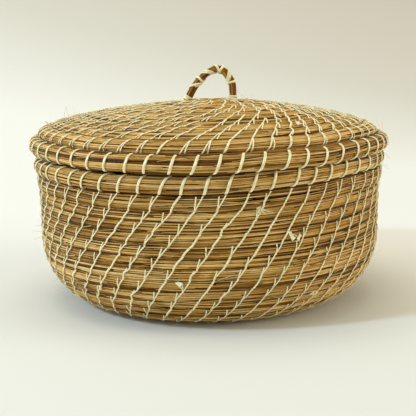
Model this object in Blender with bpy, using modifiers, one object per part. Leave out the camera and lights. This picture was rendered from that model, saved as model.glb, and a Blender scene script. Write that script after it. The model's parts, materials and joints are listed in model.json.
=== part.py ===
"""A round storage box coiled from grass bundles, with a domed lid and a loop handle.

Units are metres and +Z is up. The origin is the middle of the bottom, on the surface it stands on,
and the handle lies along X. The basket is a flat bottom with one long bundle wound round it and up
to the mouth. The lid is a second bundle wound from its middle out to a thick edge, with a collar
that drops into the mouth and a handle of bent grass bound with a strip of palm leaf. Each round of
a bundle is laid against the round before it, so the rows, the mouth and the lid's seat all follow
from the sizes below.
"""

import math

import bmesh
import bpy
from mathutils import Matrix, Vector
from mathutils.bvhtree import BVHTree

# Rounds of a bundle
ROUND_POINTS = 20
ROW_GAP = 0.0007
PIECE_GAP = 0.0003
WELD_DISTANCE = 0.00001
OUTLINE_STEPS = 240
BETWEEN_STEPS = 4
SHARP_ANGLE = math.radians(50)
MM_PER_M = 1000

# Basket
FLOOR_RADIUS = 0.0762
FLOOR_THICKNESS = 0.0060
FLOOR_EDGE_ROUND = 0.0016
BOWL_REACH = 0.0356
BOWL_RISE = 0.0419
MOUTH_HEIGHT = 0.0990
MOUTH_FLARE = 0.0014
ROW_RADIUS = 0.0031
ROW_LIFT = 0.0003
RIM_ROW_RADIUS = 0.0053
RIM_THINNING = 0.0013
RIM_FULL_ROUNDS = 0.85
RIM_END_ANGLE = math.radians(162)
RIM_TAIL_POINTS = 9
TIP_RADIUS = 0.0007

# Lid, whose edge row overhangs the wall's rim row
LID_OVERHANG = 0.0026
LID_RISE = 0.0266
LID_SHAPE_POWER = 1.5
LID_SHAPE_ROOT = 0.52
LID_ROW_RADIUS = 0.0046
LID_EDGE_ROW_RADIUS = 0.0052
LID_START_RADIUS = 0.0054
LID_STEP_POINTS = 4
LID_TAIL_POINTS = 5
LID_END_ANGLE = math.radians(108)
LID_TILT = math.radians(0.6)

# Collar under the lid, with some play inside the wall's rim row
COLLAR_PLAY = 0.0045
COLLAR_ROW_RADIUS = 0.0024
COLLAR_ROUNDS = 2
COLLAR_STEP_POINTS = 4
COLLAR_START_ANGLE = math.radians(90)
TIE_COUNT = 9
TIE_WIDTH = 0.0030
TIE_THICKNESS = 0.0007
TIE_BEND_STEPS = 8

# Handle
HANDLE_RADIUS = 0.0026
HANDLE_SPAN = 0.0311
HANDLE_MIDDLE = 0.0018
HANDLE_RISE = 0.0204
HANDLE_ROUTE_SHARES = (
    (-0.500, 0.000), (-0.413, 0.225), (-0.330, 0.435), (-0.249, 0.588), (-0.153, 0.745),
    (-0.043, 0.873), (0.066, 0.961), (0.175, 1.000), (0.265, 0.970), (0.349, 0.873),
    (0.420, 0.716), (0.477, 0.549), (0.497, 0.387), (0.500, 0.220), (0.500, 0.000),
)
HANDLE_STEPS = 3
STRIP_RADIUS = 0.0007
STRIP_WRAPS = 7
STRIP_POINTS = 8
STRIP_CLEARANCE = 0.0049
LASHING_HEIGHT = 0.0042
LASHING_THICKNESS = 0.0011
LASHING_RIDGES = 3
LASHING_RIDGE_DEPTH = 0.0004
LASHING_SEGMENTS = 16
KNOT_RADIUS = 0.0030
KNOT_HEIGHT = 0.0036
KNOT_SEGMENTS = 12

# Sizes that follow from the ones above
RIM_RADIUS = FLOOR_RADIUS + BOWL_REACH + MOUTH_FLARE
LID_EDGE_RADIUS = RIM_RADIUS + LID_OVERHANG
COLLAR_RADIUS = RIM_RADIUS - RIM_ROW_RADIUS - COLLAR_PLAY - COLLAR_ROW_RADIUS

# Colour and roughness of each stuff
GRASS = ((0.50, 0.33, 0.15), 0.75)
DARK_GRASS = ((0.36, 0.22, 0.09), 0.75)
PALM_STRIP = ((0.80, 0.70, 0.46), 0.65)


def clear_scene():
    """Take out whatever is in the scene."""
    for old in list(bpy.data.objects):
        bpy.data.objects.remove(old, do_unlink=True)


def make_material(name, look):
    """Return a Principled material with a colour and a roughness."""
    colour, roughness = look
    material = bpy.data.materials.new(name)
    material.use_nodes = True
    shader = material.node_tree.nodes["Principled BSDF"]
    shader.inputs["Base Color"].default_value = (*colour, 1)
    shader.inputs["Roughness"].default_value = roughness
    shader.inputs["Metallic"].default_value = 0
    material.diffuse_color = (*colour, 1)
    return material


def add_piece(name, mesh, look, parent=None):
    """Put one piece in the scene under its name, with a material of its own."""
    mesh.name = name
    mesh.materials.clear()
    mesh.materials.append(make_material(name, look))
    mesh.shade_smooth()
    mesh.set_sharp_from_angle(angle=SHARP_ANGLE)
    piece = bpy.data.objects.new(name, mesh)
    piece.parent = parent
    collection.objects.link(piece)
    return piece


def weld(mesh):
    """Join doubled points and turn every face outwards."""
    work = bmesh.new()
    work.from_mesh(mesh)
    bmesh.ops.remove_doubles(work, verts=work.verts, dist=WELD_DISTANCE)
    bmesh.ops.recalc_face_normals(work, faces=work.faces)
    work.to_mesh(mesh)
    work.free()


def mesh_of_curve(curve):
    """Return a curve's closed mesh, and remove the curve."""
    holder = bpy.data.objects.new("curve", curve)
    collection.objects.link(holder)
    graph = bpy.context.evaluated_depsgraph_get()
    mesh = bpy.data.meshes.new_from_object(holder.evaluated_get(graph))
    bpy.data.objects.remove(holder, do_unlink=True)
    bpy.data.curves.remove(curve)
    weld(mesh)
    return mesh


def tube(points, radii, turns=None, resolution=1):
    """Return the mesh of a tube along points, with a radius and a turn of its corners at each."""
    curve = bpy.data.curves.new("tube", "CURVE")
    curve.dimensions = "3D"
    curve.twist_mode = "Z_UP"
    curve.bevel_depth = 1
    curve.bevel_resolution = resolution
    curve.use_fill_caps = True
    spline = curve.splines.new("POLY")
    spline.points.add(len(points) - 1)
    for knot, point, radius, turn in zip(spline.points, points, radii, turns or [0] * len(radii)):
        knot.co = (*point, 1)
        knot.radius = radius
        knot.tilt = turn
    return mesh_of_curve(curve)


def turned(outline, segments):
    """Return the mesh that a closed outline of (radius, height) points makes round Z."""
    work = bmesh.new()
    points = [work.verts.new((radius, 0, height)) for radius, height in outline]
    edges = [work.edges.new(pair) for pair in zip(points, points[1:] + points[:1])]
    bmesh.ops.spin(work, geom=points + edges, axis=(0, 0, 1), cent=(0, 0, 0),
                   angle=math.tau, steps=segments, use_merge=True)
    mesh = bpy.data.meshes.new("turned")
    work.to_mesh(mesh)
    work.free()
    weld(mesh)
    return mesh


def lengths_along(outline):
    """Return the length from an outline's first point to each of its points."""
    lengths = [0]
    for here, there in zip(outline, outline[1:]):
        lengths.append(lengths[-1] + math.dist(here, there))
    return lengths


def walk(outline, lengths, place):
    """Return the point that lies a given length along an outline."""
    index = 1
    while lengths[index] < place and index < len(lengths) - 1:
        index += 1
    share = (place - lengths[index - 1]) / (lengths[index] - lengths[index - 1])
    here = Vector(outline[index - 1])
    return here + (Vector(outline[index]) - here) * share


def wall_outline():
    """Return the middle line of the wall's rows, from beside the bottom to past the mouth."""
    low = ROW_RADIUS + ROW_LIFT
    outline = []
    for step in range(OUTLINE_STEPS + 1):
        turn = math.pi / 2 * step / OUTLINE_STEPS
        radius = FLOOR_RADIUS + BOWL_REACH * math.sin(turn)
        height = low + BOWL_RISE * (1 - math.cos(turn))
        outline.append((radius, height))
    foot_radius, foot = outline[-1]
    rim = MOUTH_HEIGHT - RIM_ROW_RADIUS
    for step in range(1, OUTLINE_STEPS + 1):
        share = step / OUTLINE_STEPS
        outline.append((foot_radius + MOUTH_FLARE * share ** 2, foot + (rim - foot) * share))
    return outline


def dome_outline():
    """Return the middle line of the lid's rows, from the centre out to the edge row."""
    outline = []
    for step in range(OUTLINE_STEPS + 1):
        radius = LID_EDGE_RADIUS * math.sin(math.pi / 2 * step / OUTLINE_STEPS)
        left = max(1 - (radius / LID_EDGE_RADIUS) ** LID_SHAPE_POWER, 0)
        outline.append((radius, LID_RISE * left ** LID_SHAPE_ROOT))
    return outline


def lay_rounds(first_round, radii):
    """Return how far along its outline each point of a coil lies, each round against the last."""
    places = list(first_round)
    for index in range(ROUND_POINTS, len(radii)):
        inner = index - ROUND_POINTS
        places.append(places[inner] + radii[inner] + radii[index] + ROW_GAP)
    return places


def taper(radius, points_left, points):
    """Return a bundle's radius this many points from its tip, which thins over some points."""
    share = min(points_left / points, 1)
    return TIP_RADIUS + (radius - TIP_RADIUS) * share


def wall_radii(count):
    """Return the wall bundle's radii, thickening to the rim row and thin at both tips."""
    radii = []
    for index in range(count):
        left = count - 1 - index
        below_rim = max(left / ROUND_POINTS - RIM_FULL_ROUNDS, 0)
        radius = max(RIM_ROW_RADIUS - RIM_THINNING * below_rim, ROW_RADIUS)
        radius = taper(radius, left, RIM_TAIL_POINTS)
        radii.append(taper(radius, index, ROUND_POINTS))
    return radii


def wall_places(radii):
    """Return the places of the wall's rows.

    The first round starts against the bottom's edge and leaves it by the thickness of its tip,
    so that the second round passes the tip without a step.
    """
    passing = 2 * TIP_RADIUS + ROW_GAP
    first_round = [radius + PIECE_GAP + passing * index / ROUND_POINTS
                   for index, radius in enumerate(radii[:ROUND_POINTS])]
    return lay_rounds(first_round, radii)


def lid_radii(count):
    """Return the lid bundle's radii, which swell where its last round steps out to the edge."""
    radii = []
    for index in range(count):
        left = count - 1 - index
        swell = min(max((ROUND_POINTS - left) / LID_STEP_POINTS, 0), 1)
        radius = LID_ROW_RADIUS + (LID_EDGE_ROW_RADIUS - LID_ROW_RADIUS) * swell
        radii.append(taper(radius, left, LID_TAIL_POINTS))
    return radii


def lid_places(radii):
    """Return the places of the lid's rows, a spiral that settles into level rounds.

    Near the edge a round stays level for most of its way, and steps out to the next at the back.
    """
    pitch = 2 * LID_ROW_RADIUS + ROW_GAP
    first_round = [LID_START_RADIUS + pitch * index / ROUND_POINTS
                   for index in range(ROUND_POINTS)]
    places = lay_rounds(first_round, radii)
    count = len(places)
    for index in range(count):
        into_round = (index - count + 1) % ROUND_POINTS
        step = min(into_round / LID_STEP_POINTS, 1)
        lead = step * step * (3 - 2 * step) - into_round / ROUND_POINTS
        places[index] += pitch * lead * index / count
    return places


def longest_coil(radii_for, places_for, length):
    """Return the radii and places of the coil whose rounds fill a length of outline."""
    count = 2 * ROUND_POINTS
    reach = 0
    while reach < length:
        radii, places = radii_for(count), places_for(radii_for(count))
        last_round = zip(places[-ROUND_POINTS:], radii[-ROUND_POINTS:])
        reach = max(place + radius for place, radius in last_round)
        count += 1
    return radii, [place * length / reach for place in places]


def wind(places, outline, end_angle, direction):
    """Return the points of a coil that ends at an angle, and the turn of its corners at each.

    The turns follow the slope of the outline, so that rows touch their neighbours at a corner.
    """
    lengths = lengths_along(outline)
    points = []
    turns = []
    for index, place in enumerate(places):
        left = len(places) - 1 - index
        angle = end_angle - direction * math.tau * left / ROUND_POINTS
        radius, height = walk(outline, lengths, place)
        points.append(Vector((radius * math.cos(angle), radius * math.sin(angle), height)))
        across, up = walk(outline, lengths, place + ROW_GAP) - Vector((radius, height))
        turns.append(-direction * math.atan2(up, across))
    return points, turns


def wall_coil():
    """Return the points, radii and turns of the basket's bundle, wound up to the mouth."""
    outline = wall_outline()
    length = lengths_along(outline)[-1] + RIM_ROW_RADIUS
    radii, places = longest_coil(wall_radii, wall_places, length)
    points, turns = wind(places, outline, RIM_END_ANGLE, 1)
    return points, radii, turns


def lid_coil():
    """Return the points, radii and turns of the lid's bundle, wound out as far as the edge."""
    outline = dome_outline()
    length = lengths_along(outline)[-1] + LID_EDGE_ROW_RADIUS
    radii, places = longest_coil(lid_radii, lid_places, length)
    points, turns = wind(places, outline, LID_END_ANGLE, -1)
    return points, radii, turns


def collar_coil(lid):
    """Return the points, radii and turns of the collar's bundle, hung under the lid's rows.

    Each round is level until it steps down to the next, and the last ends before its step.
    """
    pitch = 2 * COLLAR_ROW_RADIUS + ROW_GAP
    top = height_under(lid, COLLAR_ROW_RADIUS + ROW_GAP,
                       lambda point: abs(math.hypot(point.x, point.y) - COLLAR_RADIUS))
    level = ROUND_POINTS - COLLAR_STEP_POINTS
    points = []
    for index in range(COLLAR_ROUNDS * ROUND_POINTS - COLLAR_STEP_POINTS + 1):
        angle = COLLAR_START_ANGLE + math.tau * index / ROUND_POINTS
        rounds, into_round = divmod(index, ROUND_POINTS)
        step = max(into_round - level, 0) / COLLAR_STEP_POINTS
        points.append(Vector((COLLAR_RADIUS * math.cos(angle), COLLAR_RADIUS * math.sin(angle),
                              top - pitch * (rounds + step))))
    return points, [COLLAR_ROW_RADIUS] * len(points), [math.pi / 2] * len(points)


def least_gap(points, radii):
    """Return the least gap between a coil's own rounds."""
    least = math.inf
    half = ROUND_POINTS // 2
    for index, (here, radius) in enumerate(zip(points, radii)):
        for other in range(index + half, len(points)):
            gap = (points[other] - here).length - radius - radii[other]
            least = min(least, gap)
    return least


def along(coil):
    """Return a coil's points and radii with more between each two."""
    points, radii, _ = coil
    dense = []
    for index in range(len(points) - 1):
        for step in range(BETWEEN_STEPS):
            share = step / BETWEEN_STEPS
            dense.append((points[index].lerp(points[index + 1], share),
                          radii[index] + (radii[index + 1] - radii[index]) * share))
    return dense


def height_over(coil, margin, aside):
    """Return the height that clears a coil's rows from above by a margin.

    aside gives how far sideways a row's middle lies from the thing that is set down on it.
    """
    height = -math.inf
    for point, radius in along(coil):
        room = radius + margin
        if aside(point) < room:
            height = max(height, point.z + math.sqrt(room ** 2 - aside(point) ** 2))
    return height


def height_under(coil, margin, aside):
    """Return the height that clears a coil's rows from below by a margin."""
    height = math.inf
    for point, radius in along(coil):
        room = radius + margin
        if aside(point) < room:
            height = min(height, point.z - math.sqrt(room ** 2 - aside(point) ** 2))
    return height


def beside(place, reach):
    """Return a function for how far sideways a point lies outside a round foot at a place."""
    return lambda point: max(math.hypot(point.x - place[0], point.y - place[1]) - reach, 0)


def room_between(upper, lower):
    """Return how far a mesh can be raised or another lowered before the two touch.

    The upper one is over the lower one, and both are given as points and faces.
    """
    room = math.inf
    for (points, _), (others, faces), way in ((upper, lower, -1), (lower, upper, 1)):
        tree = BVHTree.FromPolygons(others, faces)
        for point in points:
            _, _, _, distance = tree.ray_cast(point, (0, 0, way))
            if distance is not None:
                room = min(room, distance)
    return room


def points_and_faces(mesh, place):
    """Return a mesh's points, moved by a matrix, and the corners of its faces."""
    points = [place @ vertex.co for vertex in mesh.vertices]
    return points, [tuple(face.vertices) for face in mesh.polygons]


def floor_disc():
    """Make the flat bottom that the wall's bundle is wound round."""
    work = bmesh.new()
    bmesh.ops.create_cone(work, cap_ends=True, segments=ROUND_POINTS, radius1=FLOOR_RADIUS,
                          radius2=FLOOR_RADIUS, depth=FLOOR_THICKNESS)
    bmesh.ops.translate(work, verts=work.verts, vec=(0, 0, FLOOR_THICKNESS / 2))
    mesh = bpy.data.meshes.new("floor")
    work.to_mesh(mesh)
    work.free()
    disc = add_piece("base_disc", mesh, DARK_GRASS)
    rounding = disc.modifiers.new("rounded edge", "BEVEL")
    rounding.width = FLOOR_EDGE_ROUND
    rounding.segments = 2
    rounding.limit_method = "ANGLE"


def tie_outline():
    """Return the outline of one tie, a strip bent under the collar with both legs up its sides."""
    inner = COLLAR_ROW_RADIUS + PIECE_GAP
    outer = inner + TIE_THICKNESS
    leg = 2 * COLLAR_ROW_RADIUS + ROW_GAP
    bends = [math.pi * step / TIE_BEND_STEPS for step in range(TIE_BEND_STEPS + 1)]
    under = [(-outer * math.cos(bend), -outer * math.sin(bend)) for bend in bends]
    back = [(inner * math.cos(bend), -inner * math.sin(bend)) for bend in bends]
    return [(-outer, leg), *under, (outer, leg), (inner, leg), *back, (-inner, leg)]


def collar_ties(points, parent):
    """Make the strips that hold the collar's rounds together, each round a low point of the coil."""
    spacing = (ROUND_POINTS - COLLAR_STEP_POINTS) // (TIE_COUNT - 1)
    for number in range(TIE_COUNT):
        curve = bpy.data.curves.new("tie", "CURVE")
        curve.dimensions = "2D"
        curve.fill_mode = "BOTH"
        curve.extrude = TIE_WIDTH / 2
        outline = tie_outline()
        spline = curve.splines.new("POLY")
        spline.points.add(len(outline) - 1)
        spline.use_cyclic_u = True
        for knot, (across, up) in zip(spline.points, outline):
            knot.co = (across, up, 0, 1)
        mesh = mesh_of_curve(curve)
        low = points[ROUND_POINTS + spacing * number]
        out = Vector((low.x, low.y, 0)).normalized()
        up = Vector((0, 0, 1))
        stand = Matrix((out, up, out.cross(up))).transposed().to_4x4()
        mesh.transform(Matrix.Translation(low) @ stand)
        add_piece(f"collar_tie_{number + 1:02d}", mesh, PALM_STRIP, parent)


def smooth_route(route, steps):
    """Return points on a smooth curve through a route."""
    ends = [2 * route[0] - route[1], *route, 2 * route[-1] - route[-2]]
    points = []
    for index in range(1, len(ends) - 2):
        before, here, there, after = ends[index - 1:index + 3]
        for step in range(steps):
            t = step / steps
            points.append((here * 2 + (there - before) * t
                           + (before * 2 - here * 5 + there * 4 - after) * t ** 2
                           + (here * 3 - before - there * 3 + after) * t ** 3) / 2)
    return [*points, route[-1]]


def handle_route(lid):
    """Return the middle line of the handle, from its left foot to its right foot."""
    feet = [beside((HANDLE_MIDDLE + side * HANDLE_SPAN / 2, 0), HANDLE_RADIUS + PIECE_GAP)
            for side in (-1, 1)]
    base = max(height_over(lid, PIECE_GAP, foot) for foot in feet)
    route = [Vector((HANDLE_MIDDLE + HANDLE_SPAN * across, 0, base + HANDLE_RISE * up))
             for across, up in HANDLE_ROUTE_SHARES]
    return smooth_route(route, HANDLE_STEPS)


def handle_core(route):
    """Return the mesh of the handle's bent bundle, cut flat at both feet."""
    ends = [2 * route[0] - route[1], *route, 2 * route[-1] - route[-2]]
    mesh = tube(ends, [HANDLE_RADIUS] * len(ends), resolution=2)
    work = bmesh.new()
    work.from_mesh(mesh)
    everything = [*work.verts, *work.edges, *work.faces]
    bmesh.ops.bisect_plane(work, geom=everything, plane_co=route[0], plane_no=(0, 0, -1),
                           clear_outer=True)
    bmesh.ops.holes_fill(work, edges=[edge for edge in work.edges if edge.is_boundary])
    work.to_mesh(mesh)
    work.free()
    weld(mesh)
    return mesh


def handle_binding(route):
    """Return the points and radii of the strip wound in an open spiral round the handle."""
    lengths = lengths_along(route)
    start = LASHING_HEIGHT + STRIP_CLEARANCE
    end = lengths[-1] - start
    around = (HANDLE_RADIUS + PIECE_GAP + STRIP_RADIUS) / math.cos(math.pi / STRIP_POINTS)
    count = STRIP_WRAPS * STRIP_POINTS
    points = []
    for index in range(count + 1):
        place = start + (end - start) * index / count
        here = walk(route, lengths, place)
        ahead = (walk(route, lengths, place + STRIP_RADIUS) - here).normalized()
        side = Vector((0, 1, 0))
        out = ahead.cross(side)
        turn = math.tau * index / STRIP_POINTS
        points.append(here + (side * math.cos(turn) + out * math.sin(turn)) * around)
    return points, [STRIP_RADIUS] * len(points)


def lashing_outline():
    """Return the outline of a foot's lashing, with a ridge for each turn of the strip."""
    inner = HANDLE_RADIUS + 2 * PIECE_GAP
    outer = inner + LASHING_THICKNESS
    outline = [(inner, LASHING_HEIGHT), (inner, 0)]
    for ridge in range(LASHING_RIDGES):
        low = LASHING_HEIGHT * ridge / LASHING_RIDGES
        middle = LASHING_HEIGHT * (ridge + 1 / 2) / LASHING_RIDGES
        outline.append((outer - LASHING_RIDGE_DEPTH, low))
        outline.append((outer, middle))
    outline.append((outer - LASHING_RIDGE_DEPTH, LASHING_HEIGHT))
    return outline


def handle(lid, parent):
    """Make the handle's bent bundle, its binding, the lashings round its feet and its knots."""
    route = handle_route(lid)
    add_piece("handle_core", handle_core(route), GRASS, parent)
    add_piece("handle_binding", tube(*handle_binding(route)), PALM_STRIP, parent)
    for side, leg in (("left", route), ("right", route[::-1])):
        foot = leg[0]
        up = (walk(leg, lengths_along(leg), LASHING_HEIGHT) - foot).normalized()
        reach = HANDLE_RADIUS + 2 * PIECE_GAP + LASHING_THICKNESS
        clear = height_over(lid, PIECE_GAP, beside(foot, reach))
        lift = max(clear + reach * abs(up.x) - foot.z, 0)
        lashing = turned(lashing_outline(), LASHING_SEGMENTS)
        lean = up.to_track_quat("Z", "Y").to_matrix().to_4x4()
        lashing.transform(Matrix.Translation(foot + up * lift) @ lean)
        add_piece(f"handle_lashing_{side}", lashing, PALM_STRIP, parent)
        top = height_under(lid, PIECE_GAP, beside(foot, KNOT_RADIUS))
        middle = Vector((foot.x, foot.y, top - KNOT_HEIGHT / 2))
        add_piece(f"handle_knot_{side}", knot(middle), PALM_STRIP, parent)


def knot(middle):
    """Return the mesh of the knot that holds a foot of the handle from under the lid."""
    work = bmesh.new()
    bmesh.ops.create_uvsphere(work, u_segments=KNOT_SEGMENTS, v_segments=KNOT_SEGMENTS // 2,
                              radius=1)
    bmesh.ops.scale(work, verts=work.verts, vec=(KNOT_RADIUS, KNOT_RADIUS, KNOT_HEIGHT / 2))
    bmesh.ops.translate(work, verts=work.verts, vec=middle)
    mesh = bpy.data.meshes.new("knot")
    work.to_mesh(mesh)
    work.free()
    return mesh


def report_coil(name, coil):
    """Print how many rounds a coil has and the least gap it leaves to itself."""
    points, radii, _ = coil
    rounds = (len(points) - 1) / ROUND_POINTS
    gap = least_gap(points, radii) * MM_PER_M
    print(f"{name}: {rounds:.2f} rounds, least gap {gap:.3f} mm")


clear_scene()
collection = bpy.data.collections.new("woven_storage_box")
bpy.context.scene.collection.children.link(collection)

wall = wall_coil()
lid = lid_coil()
collar = collar_coil(lid)
report_coil("wall_coil", wall)
report_coil("lid_coil", lid)
report_coil("lid_collar", collar)

floor_disc()
wall_piece = add_piece("wall_coil", tube(*wall), GRASS)

lid_frame = bpy.data.objects.new("lid", None)
collection.objects.link(lid_frame)
lid_piece = add_piece("lid_coil", tube(*lid), GRASS, lid_frame)
tilt = Matrix.Rotation(-LID_TILT, 4, "Y")
raised = Matrix.Translation((0, 0, MOUTH_HEIGHT + LID_RISE)) @ tilt
room = room_between(points_and_faces(lid_piece.data, raised),
                    points_and_faces(wall_piece.data, Matrix()))
lid_frame.location.z = raised.translation.z - room + PIECE_GAP
lid_frame.rotation_euler.y = -LID_TILT

collar_mesh = tube(*collar)
rise = room_between(points_and_faces(lid_piece.data, Matrix()),
                    points_and_faces(collar_mesh, Matrix())) - PIECE_GAP
collar_mesh.transform(Matrix.Translation((0, 0, rise)))
collar_points = [point + Vector((0, 0, rise)) for point in collar[0]]
add_piece("lid_collar", collar_mesh, DARK_GRASS, lid_frame)
collar_ties(collar_points, lid_frame)
handle(lid, lid_frame)
print(f"lid seat height {lid_frame.location.z * MM_PER_M:.2f} mm")
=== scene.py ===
# %% [markdown]
# # A coiled grass box
#
# This lesson dresses the plain model of a round grass box with a domed lid. The real one is made
# of two long bundles of dry grass, each wound in a spiral and sewn to itself with pale strips of
# palm leaf. The plain model has the bundles as smooth tubes. Here every tube becomes a sheaf of
# separate stems, and every stitch is laid over it one by one.

# %% Load the plain model
import bisect
import json
import math
import random

import bmesh
import bpy
from mathutils import Matrix, Vector, noise

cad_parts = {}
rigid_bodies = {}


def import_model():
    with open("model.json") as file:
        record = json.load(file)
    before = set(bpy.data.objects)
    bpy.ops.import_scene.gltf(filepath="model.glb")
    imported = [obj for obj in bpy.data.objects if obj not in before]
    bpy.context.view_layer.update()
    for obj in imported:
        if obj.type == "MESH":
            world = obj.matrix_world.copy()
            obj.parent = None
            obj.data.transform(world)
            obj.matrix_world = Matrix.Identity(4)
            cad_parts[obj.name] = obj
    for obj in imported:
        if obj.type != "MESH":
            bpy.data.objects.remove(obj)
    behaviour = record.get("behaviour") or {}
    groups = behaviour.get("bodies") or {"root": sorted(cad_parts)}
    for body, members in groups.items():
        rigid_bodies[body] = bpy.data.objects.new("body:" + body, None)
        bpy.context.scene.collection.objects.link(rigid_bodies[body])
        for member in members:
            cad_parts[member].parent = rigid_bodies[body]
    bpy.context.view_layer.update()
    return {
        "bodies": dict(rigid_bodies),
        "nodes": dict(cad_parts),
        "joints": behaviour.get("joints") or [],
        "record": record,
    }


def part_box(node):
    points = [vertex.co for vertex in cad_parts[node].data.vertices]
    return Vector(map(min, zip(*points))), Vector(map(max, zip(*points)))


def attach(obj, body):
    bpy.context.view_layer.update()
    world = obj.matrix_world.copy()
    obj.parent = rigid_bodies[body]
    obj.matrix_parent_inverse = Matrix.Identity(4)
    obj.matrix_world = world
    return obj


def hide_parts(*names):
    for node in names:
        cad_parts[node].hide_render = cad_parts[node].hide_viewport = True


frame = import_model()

MM = 0.001

# %% [markdown]
# ## The camera
#
# The box is seen from a little above the lid, from about three box widths away with a long lens.
# A long lens keeps the rows nearly parallel. The camera is rolled by less than a degree, because
# the right side of the box stands slightly higher in the view.

# %% Camera
def add_object(name, data):
    """Put some data in the scene as a new object."""
    thing = bpy.data.objects.new(name, data)
    bpy.context.scene.collection.objects.link(thing)
    return thing


camera = add_object("camera", bpy.data.cameras.new("camera"))
bpy.context.scene.camera = camera
PICTURE = 416
FOCUS_IN_PIXELS = 1021
camera.data.sensor_width = 36
camera.data.lens = camera.data.sensor_width * FOCUS_IN_PIXELS / PICTURE
EYE = Vector((0, -696, 185.9)) * MM
DOWN, ROLL, ASIDE = math.radians(10.44), math.radians(-0.75), 0.0013
look = Matrix.Rotation(ASIDE, 4, "Z") @ Matrix.Rotation(math.pi / 2 - DOWN, 4, "X")
camera.matrix_world = Matrix.Translation(EYE) @ look @ Matrix.Rotation(ROLL, 4, "Z")
print("camera", [round(value, 4) for value in camera.location], "lens", round(camera.data.lens, 1))

# %% [markdown]
# ## Floor and light
#
# The box stands on a pale sheet of paper that curves up behind it, so there is no horizon. Such a
# sheet is one edge that is extruded back, spun through a quarter turn and extruded up. The paper
# is warm white near the box and greyer far behind it, which a ramp over its length gives; this is
# painted shade, for light that falls off. A lamp at the left throws the long shadow to the right.
# The rest of the light is even. It comes from a wide lamp overhead, from the pale world, and from
# two lamps low at the sides, which stand for the light that a room's walls throw back.

# %% Floor that curves up into a backdrop
def linear(colour):
    """Return a colour of 0 to 255 values as light, which is how shaders take it."""
    return [(value / 255 / 12.92) if value < 10.3 else ((value / 255 + 0.055) / 1.055) ** 2.4
            for value in colour]


def set_inputs(node, values):
    """Set some of a node's inputs, by their names."""
    for name, value in values.items():
        node.inputs[name].default_value = value


def plain_material(name, colour, roughness):
    """Return a Principled material with one colour, given as written on screen."""
    material = bpy.data.materials.new(name)
    material.use_nodes = True
    set_inputs(material.node_tree.nodes["Principled BSDF"],
               {"Base Color": (*linear(colour), 1), "Roughness": roughness})
    return material


def new_ones(made, kind):
    """Return the vertices or edges that an operator made."""
    return [part for part in made if isinstance(part, kind)]


HALF_WIDTH, FRONT, BEND_START, BEND_RADIUS, TOP = 4, -3, 0.3, 1.6, 2.5
BEND_STEPS = 24
sheet = bmesh.new()
front = sheet.edges.new([sheet.verts.new((x, FRONT, 0)) for x in (-HALF_WIDTH, HALF_WIDTH)])
back = bmesh.ops.extrude_edge_only(sheet, edges=[front])["geom"]
bmesh.ops.translate(sheet, verts=new_ones(back, bmesh.types.BMVert), vec=(0, BEND_START - FRONT, 0))
line = new_ones(back, bmesh.types.BMVert) + new_ones(back, bmesh.types.BMEdge)[:1]
bend = bmesh.ops.spin(sheet, geom=line, cent=(0, BEND_START, BEND_RADIUS), axis=(1, 0, 0),
                      angle=math.pi / 2, steps=BEND_STEPS)["geom_last"]
rise = bmesh.ops.extrude_edge_only(sheet, edges=new_ones(bend, bmesh.types.BMEdge))["geom"]
bmesh.ops.translate(sheet, verts=new_ones(rise, bmesh.types.BMVert), vec=(0, 0, TOP - BEND_RADIUS))
bmesh.ops.recalc_face_normals(sheet, faces=sheet.faces)
floor_mesh = bpy.data.meshes.new("floor")
sheet.to_mesh(floor_mesh)
sheet.free()
floor_mesh.shade_smooth()
floor = add_object("floor", floor_mesh)
print("floor:", len(floor_mesh.polygons), "faces")

# %% Paper with painted shade, greyer far away
paper = plain_material("pale_paper", (240, 239, 230), 0.9)
nodes, link = paper.node_tree.nodes, paper.node_tree.links.new
place = nodes.new("ShaderNodeTexCoord")
along = nodes.new("ShaderNodeVectorMath")
along.operation = "DOT_PRODUCT"
along.inputs[1].default_value = (0.5, 1, 0)
share = nodes.new("ShaderNodeMapRange")
set_inputs(share, {"From Min": -0.5, "From Max": 1.5})
ramp = nodes.new("ShaderNodeValToRGB")
# The ramp's stops are painted light and shade: the paper greys far behind the box.
PAPER_SHADE_STOPS = ((0.0, (230, 232, 228)), (0.2, (230, 233, 229)), (0.36, (243, 246, 246)),
               (0.55, (244, 247, 247)), (0.72, (217, 217, 210)), (0.9, (207, 202, 193)))
for number, (stop, colour) in enumerate(PAPER_SHADE_STOPS):
    knot = ramp.color_ramp.elements[number] if number < 2 else ramp.color_ramp.elements.new(stop)
    knot.position = stop
    knot.color = (*linear(colour), 1)
link(place.outputs["Object"], along.inputs[0])
link(along.outputs["Value"], share.inputs["Value"])
link(share.outputs["Result"], ramp.inputs["Fac"])
link(ramp.outputs["Color"], nodes["Principled BSDF"].inputs["Base Color"])
floor_mesh.materials.append(paper)


# %% Lamps and world
LAMP_TARGET = Vector((0, 0, 0.05))


def lamp(name, place, size, power, colour):
    """Add a square lamp that points at the box."""
    light = bpy.data.lights.new(name, "AREA")
    light.size = size
    light.energy = power
    light.color = colour
    holder = add_object(name, light)
    holder.location = place
    holder.rotation_euler = (LAMP_TARGET - Vector(place)).to_track_quat("-Z", "Y").to_euler()


lamp("window", (-1.42, -0.74, 1.2), 0.22, 17, (0.6, 0.8, 1))
lamp("ceiling", (-0.2, 0.1, 2.0), 1.4, 13, (1, 0.93, 0.77))
lamp("room_right", (1.9, -0.3, 0.55), 1.0, 15, (1, 0.94, 0.78))
lamp("room_left", (-1.9, 0.1, 0.5), 1.0, 10, (1, 0.96, 0.88))
world = bpy.data.worlds.new("studio")
bpy.context.scene.world = world
world.use_nodes = True
set_inputs(world.node_tree.nodes["Background"], {"Color": (1, 0.93, 0.75, 1), "Strength": 0.5})
bpy.context.scene.view_settings.view_transform = "Standard"

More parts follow.
